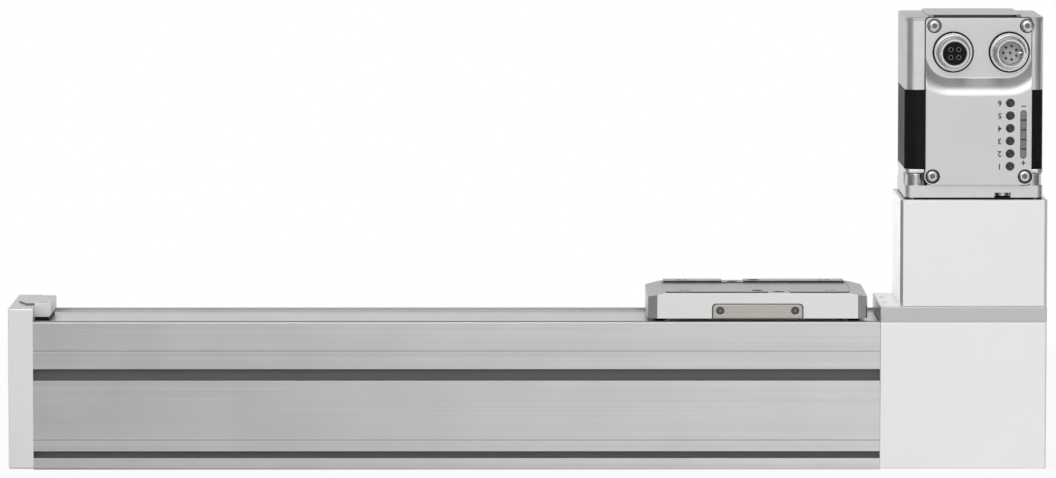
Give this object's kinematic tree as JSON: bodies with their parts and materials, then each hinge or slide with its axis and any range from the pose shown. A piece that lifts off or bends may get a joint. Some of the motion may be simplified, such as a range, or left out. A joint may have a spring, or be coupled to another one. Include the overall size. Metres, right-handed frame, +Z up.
{
  "type": "toothed belt linear axis",
  "caption": "Toothed belt linear axis: slide on a covered aluminium profile, driven through a coupling by an upright motor with round connectors and push keys.",
  "frame": {"origin": "centre of the profile's underside", "axes": "+X along the travel towards the drive head, -Y to the side with the motor's front panel, +Z up to the slide"},
  "size_m": [0.4242, 0.0708, 0.186],
  "materials": {
    "profile_aluminium": "anodised, drawn along its length",
    "slide_aluminium": "fine blasted and anodised",
    "light_coating": "smooth light grey coating",
    "grey_coating": "smooth mid grey coating",
    "cast_aluminium": "cast and tumbled",
    "panel_aluminium": "cast and fine blasted",
    "black_laminations": "stacked sheet, black",
    "stainless": "brushed lengthwise",
    "strip_steel": "rolled strip",
    "steel": "ground",
    "bright_screws": "nickel plated",
    "dark_screws": "blackened",
    "black_plastic": "moulded",
    "grey_plastic": "moulded",
    "black_rubber": "moulded",
    "belt_rubber": "toothed",
    "magnet": "bonded magnet",
    "bronze": "sintered",
    "spider_polymer": "moulded",
    "board": "circuit board",
    "window": "tinted light guide",
    "connector_metal": "nickel plated, turned"
  },
  "bodies": {
    "base": {"profile": "profile_aluminium", "guide_rail": "steel", "rail_screws": "dark_screws", "stop_buffers": "black_rubber", "cover_strip": "strip_steel", "magnet_strips": "magnet", "strip_jaws": "black_plastic", "strip_clamp": "light_coating", "strip_screws": "bright_screws", "end_cap": "light_coating", "profile_screws": "dark_screws", "tensioner_yoke": "cast_aluminium", "tension_screws": "dark_screws", "idler_shaft": "steel", "drive_housing": "light_coating", "drive_cover": "grey_coating", "bearing_outer_rings": "steel", "coupling_housing": "light_coating", "adapter_screws": "bright_screws", "flange_gasket": "black_rubber", "motor_flange": "cast_aluminium", "stator": "black_laminations", "electronics_housing": "cast_aluminium", "housing_lid": "cast_aluminium", "circuit_boards": "board", "front_panel": "panel_aluminium", "panel_screws": "bright_screws", "level_window": "window", "power_socket_shell": "connector_metal", "power_socket_insert": "black_plastic", "signal_socket_shell": "connector_metal", "signal_socket_insert": "grey_plastic", "toothed_belt": "belt_rubber"},
    "slide": {"guide_carriage": "steel", "carriage_end_caps": "grey_plastic", "slide_bracket": "slide_aluminium", "belt_clamp": "steel", "carriage_screws": "dark_screws", "switch_magnet": "magnet", "slide_body": "slide_aluminium", "slide_plates": "stainless", "slide_plate_screws": "dark_screws", "adjusting_screws": "bright_screws", "strip_guides": "black_plastic"},
    "idler": {"idler_pulley": "cast_aluminium", "idler_bush": "bronze"},
    "drive_line": {"drive_pulley": "cast_aluminium", "drive_shaft": "steel", "bearing_inner_rings": "steel", "coupling_hub_lower": "cast_aluminium", "coupling_spider": "spider_polymer", "coupling_hub_upper": "cast_aluminium", "motor_shaft": "steel", "rotor": "black_laminations"},
    "key_1": {"key_1": "black_plastic"},
    "key_2": {"key_2": "black_plastic"},
    "key_3": {"key_3": "black_plastic"},
    "key_4": {"key_4": "black_plastic"},
    "key_5": {"key_5": "black_plastic"},
    "key_6": {"key_6": "black_plastic"}
  },
  "joints": [
    {"name": "slide_travel", "type": "slide", "parent": "base", "child": "slide", "axis": [1, 0, 0], "range_m": [-0.237, 0.003], "deforming": ["toothed_belt", "cover_strip"]},
    {"name": "drive_spin", "type": "hinge", "parent": "base", "child": "drive_line", "pos_m": [0.211, 0, 0.0445], "axis": [0, 0, 1], "range_deg": [-1094.5, 14.5], "deforming": ["toothed_belt"]},
    {"name": "idler_spin", "type": "hinge", "parent": "base", "child": "idler", "pos_m": [-0.155, 0, 0.0445], "axis": [0, 0, 1], "range_deg": [-1094.5, 14.5], "deforming": ["toothed_belt"]},
    {"name": "key_1_press", "type": "slide", "parent": "base", "child": "key_1", "axis": [0, 1, 0], "range_m": [0, 0.0004], "stiffness_N_per_m": 400},
    {"name": "key_2_press", "type": "slide", "parent": "base", "child": "key_2", "axis": [0, 1, 0], "range_m": [0, 0.0004], "stiffness_N_per_m": 400},
    {"name": "key_3_press", "type": "slide", "parent": "base", "child": "key_3", "axis": [0, 1, 0], "range_m": [0, 0.0004], "stiffness_N_per_m": 400},
    {"name": "key_4_press", "type": "slide", "parent": "base", "child": "key_4", "axis": [0, 1, 0], "range_m": [0, 0.0004], "stiffness_N_per_m": 400},
    {"name": "key_5_press", "type": "slide", "parent": "base", "child": "key_5", "axis": [0, 1, 0], "range_m": [0, 0.0004], "stiffness_N_per_m": 400},
    {"name": "key_6_press", "type": "slide", "parent": "base", "child": "key_6", "axis": [0, 1, 0], "range_m": [0, 0.0004], "stiffness_N_per_m": 400}
  ],
  "couplings": [
    {"joint": "drive_spin", "follows": "slide_travel", "rad_per_m": 80.554},
    {"joint": "idler_spin", "follows": "slide_travel", "rad_per_m": 80.554}
  ]
}
